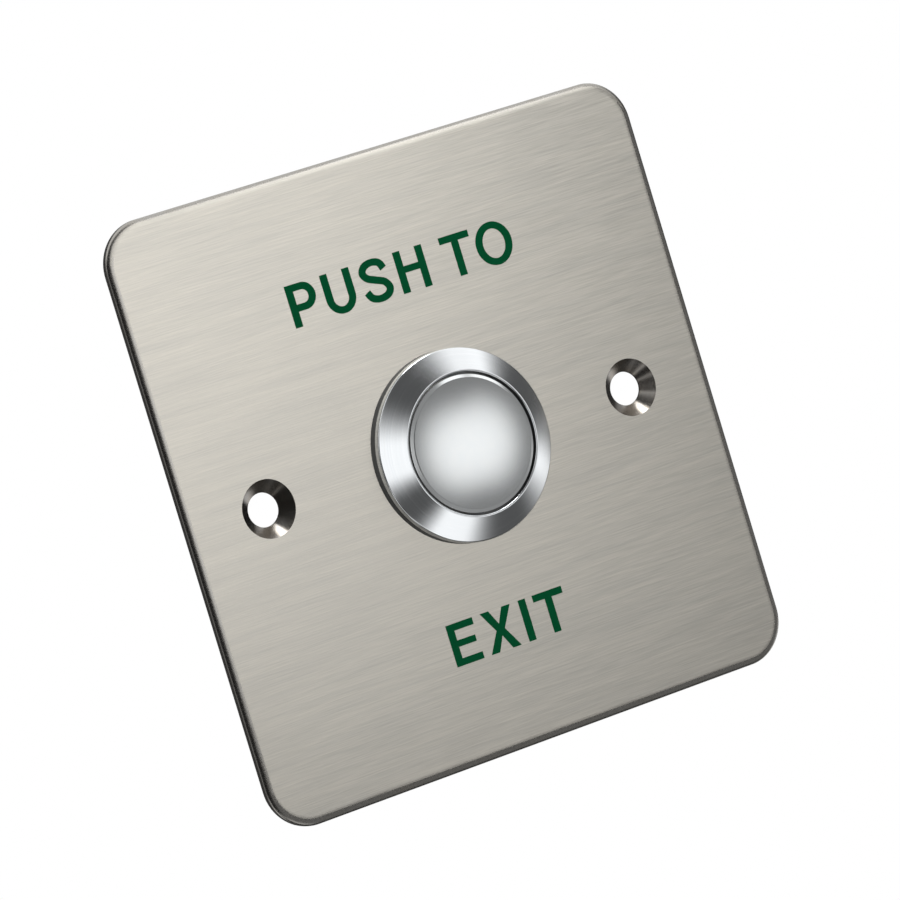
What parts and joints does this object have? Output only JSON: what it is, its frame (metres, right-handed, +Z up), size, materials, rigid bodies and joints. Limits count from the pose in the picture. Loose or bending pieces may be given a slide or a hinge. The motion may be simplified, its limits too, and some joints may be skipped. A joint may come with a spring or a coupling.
{
  "type": "door exit button",
  "caption": "Square brushed steel wall plate with countersunk screw holes and a domed, spring-loaded metal push button in a conical bezel, with a momentary switch behind it.",
  "frame": {"origin": "centre of the face plate's back face, midway between the two wall screw holes", "axes": "+Z up, +Y into the wall, +X to the right as seen from the front; the front faces -Y"},
  "size_m": [0.086, 0.0358, 0.086],
  "materials": {
    "plate_steel": "brushed left to right",
    "bezel_metal": "polished, turned",
    "cap_steel": "satin",
    "black_rubber": "matte",
    "plated_steel": "zinc plated",
    "plated_brass": "nickel plated",
    "spring_steel": "bright drawn",
    "white_plastic": "moulded",
    "black_plastic": "moulded",
    "contact_copper": "rolled",
    "contact_silver": "satin",
    "terminal_brass": "stamped"
  },
  "bodies": {
    "housing": {"face_plate": "plate_steel", "bezel_housing": "bezel_metal", "panel_gasket": "black_rubber", "lock_washer": "plated_steel", "mounting_nut": "plated_brass", "return_spring": "spring_steel", "plunger_guide": "black_plastic", "terminal_base": "black_plastic", "base_retaining_ring": "spring_steel", "terminal_no": "terminal_brass", "terminal_com": "terminal_brass", "fixed_contact_left": "contact_silver", "fixed_contact_right": "contact_silver", "clamp_washer_left": "plated_steel", "clamp_washer_right": "plated_steel", "terminal_screw_left": "plated_steel", "terminal_screw_right": "plated_steel"},
    "button": {"button_cap": "cap_steel", "cap_seal": "black_rubber", "plunger": "white_plastic", "bridge_clip": "spring_steel", "contact_spring": "spring_steel"},
    "bridge": {"contact_bridge": "contact_copper", "moving_contact_left": "contact_silver", "moving_contact_right": "contact_silver"}
  },
  "joints": [
    {"name": "button_press", "type": "slide", "parent": "housing", "child": "button", "axis": [0, 1, 0], "range_m": [0, 0.0025], "stiffness_N_per_m": 600, "springref_m": -0.003, "deforming": ["return_spring"]},
    {"name": "contact_slip", "type": "slide", "parent": "button", "child": "bridge", "axis": [0, 1, 0], "range_m": [-0.0005, 0], "deforming": ["contact_spring"]}
  ],
  "couplings": [
    {"joint": "contact_slip", "follows": "button_press", "ratio": -0.2}
  ]
}
